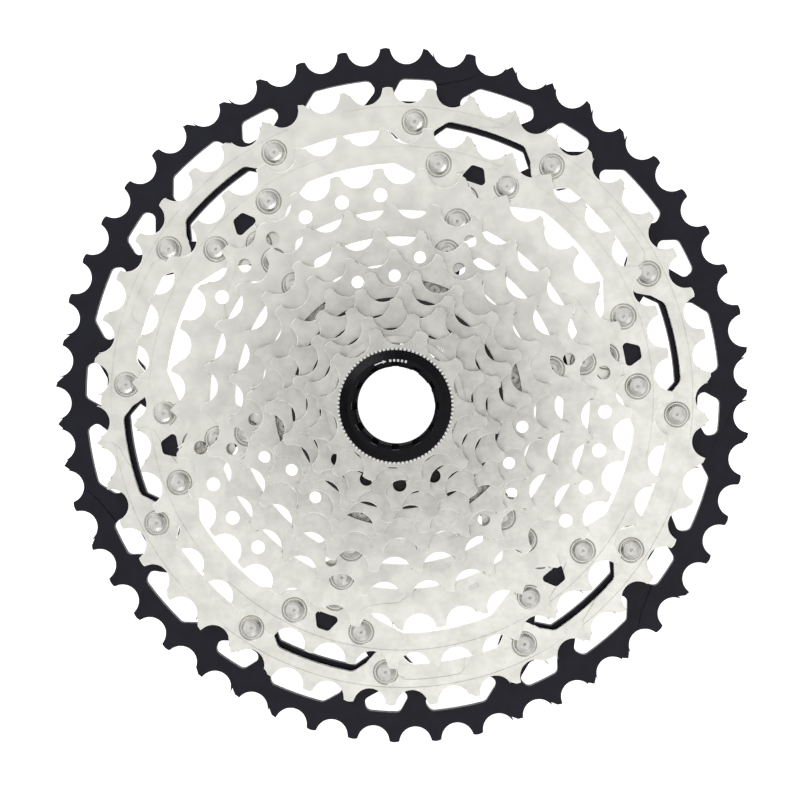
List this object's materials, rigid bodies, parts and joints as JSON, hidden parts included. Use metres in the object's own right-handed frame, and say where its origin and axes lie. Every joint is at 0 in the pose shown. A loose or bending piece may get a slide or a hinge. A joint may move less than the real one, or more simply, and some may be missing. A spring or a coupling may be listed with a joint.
{
  "type": "bicycle cassette",
  "caption": "Stepped stack of bicycle sprockets on a splined bore, held together by riveted spiders and a threaded lockring.",
  "frame": {"origin": "on the axle line, at the inboard face of the largest sprocket", "axes": "+Z along the axle, outboard towards the lockring"},
  "size_m": [0.2074, 0.2081, 0.0443],
  "materials": {
    "nickel_steel": "satin nickel plate",
    "black_alloy": "black anodised",
    "carrier_alloy": "bead blasted",
    "spacer_dark": "moulded, matt",
    "rivet_steel": "polished steel",
    "lockring_black": "black anodised, turned",
    "washer_steel": "bright zinc"
  },
  "bodies": {
    "cassette_stack": {"sprocket_51t": "black_alloy", "sprocket_45t": "nickel_steel", "sprocket_39t": "nickel_steel", "sprocket_33t": "nickel_steel", "sprocket_28t": "nickel_steel", "sprocket_24t": "nickel_steel", "sprocket_21t": "nickel_steel", "sprocket_18t": "nickel_steel", "sprocket_16t": "nickel_steel", "sprocket_14t": "nickel_steel", "sprocket_12t": "nickel_steel", "sprocket_10t": "nickel_steel", "spacer_18t_21t": "spacer_dark", "spacer_16t_18t": "spacer_dark", "spacer_14t_16t": "spacer_dark", "spacer_12t_14t": "spacer_dark", "spider_main": "black_alloy", "carrier_small": "carrier_alloy", "rivets_51t": "rivet_steel", "rivets_39t_outer": "rivet_steel", "rivets_39t_inner": "rivet_steel", "rivets_33t": "rivet_steel", "rivets_28t": "rivet_steel", "rivets_24t": "rivet_steel", "rivets_21t": "rivet_steel"},
    "lockring_washer": {"lockring_washer": "washer_steel"},
    "lockring": {"lockring": "lockring_black"}
  },
  "joints": [
    {"name": "lockring_lift", "type": "slide", "parent": "cassette_stack", "child": "lockring_washer", "axis": [0, 0, 1], "range_m": [0, 0.005]},
    {"name": "lockring_turn", "type": "hinge", "parent": "lockring_washer", "child": "lockring", "pos_m": [0, 0, 0.043], "axis": [0, 0, 1], "range_deg": [0, 1800]}
  ],
  "couplings": [
    {"joint": "lockring_lift", "follows": "lockring_turn", "m_per_rad": 0.00015915}
  ]
}
